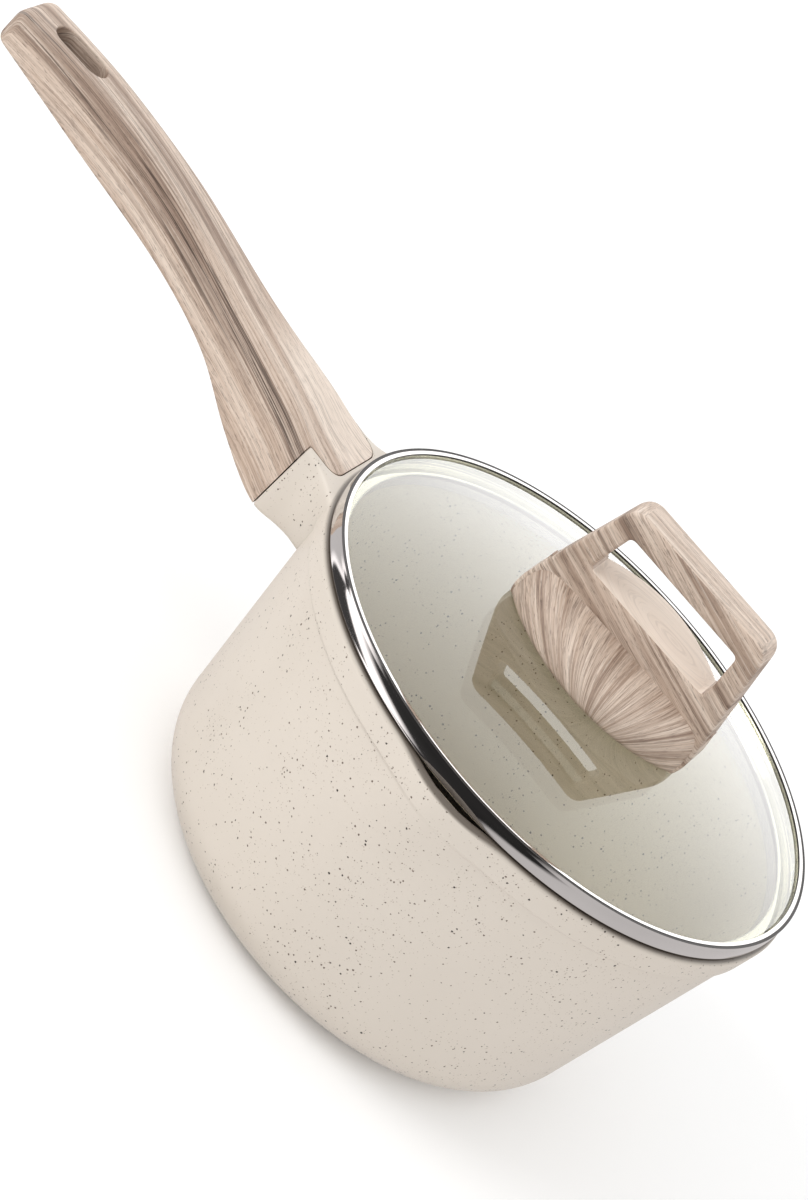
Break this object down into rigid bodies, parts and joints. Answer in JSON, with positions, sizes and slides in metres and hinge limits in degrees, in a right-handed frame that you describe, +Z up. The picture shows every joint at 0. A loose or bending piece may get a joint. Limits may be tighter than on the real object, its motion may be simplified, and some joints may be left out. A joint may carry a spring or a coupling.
{
  "type": "saucepan with glass lid",
  "caption": "Speckled cream saucepan with pouring lips, a curved wood-effect handle with a hanging slot, and a domed glass lid with a steel rim and stirrup knob.",
  "frame": {"origin": "centre of the pan's flat base, on the plane it stands on", "axes": "+Z up along the pan's axis, -X along the handle, pouring lips at -Y and +Y"},
  "size_m": [0.3574, 0.197, 0.1636],
  "materials": {
    "speckled_coating": "satin",
    "wood_effect": "satin",
    "clear_glass": "polished",
    "polished_steel": "polished",
    "brushed_steel": "satin",
    "brass": "satin",
    "silicone": "matte"
  },
  "bodies": {
    "pan": {"pan_body": "speckled_coating", "induction_plate": "brushed_steel", "handle_grip": "wood_effect", "handle_screw": "brushed_steel", "handle_washer": "brushed_steel"},
    "lid": {"lid_glass": "clear_glass", "lid_ring": "polished_steel", "knob": "wood_effect", "knob_insert": "brass", "knob_screw": "polished_steel", "knob_washer": "polished_steel", "lower_seal": "silicone", "upper_seal": "silicone"}
  },
  "joints": [
    {"name": "lid_lift", "type": "slide", "parent": "pan", "child": "lid", "axis": [0, 0, 1], "range_m": [0, 0.12]}
  ]
}
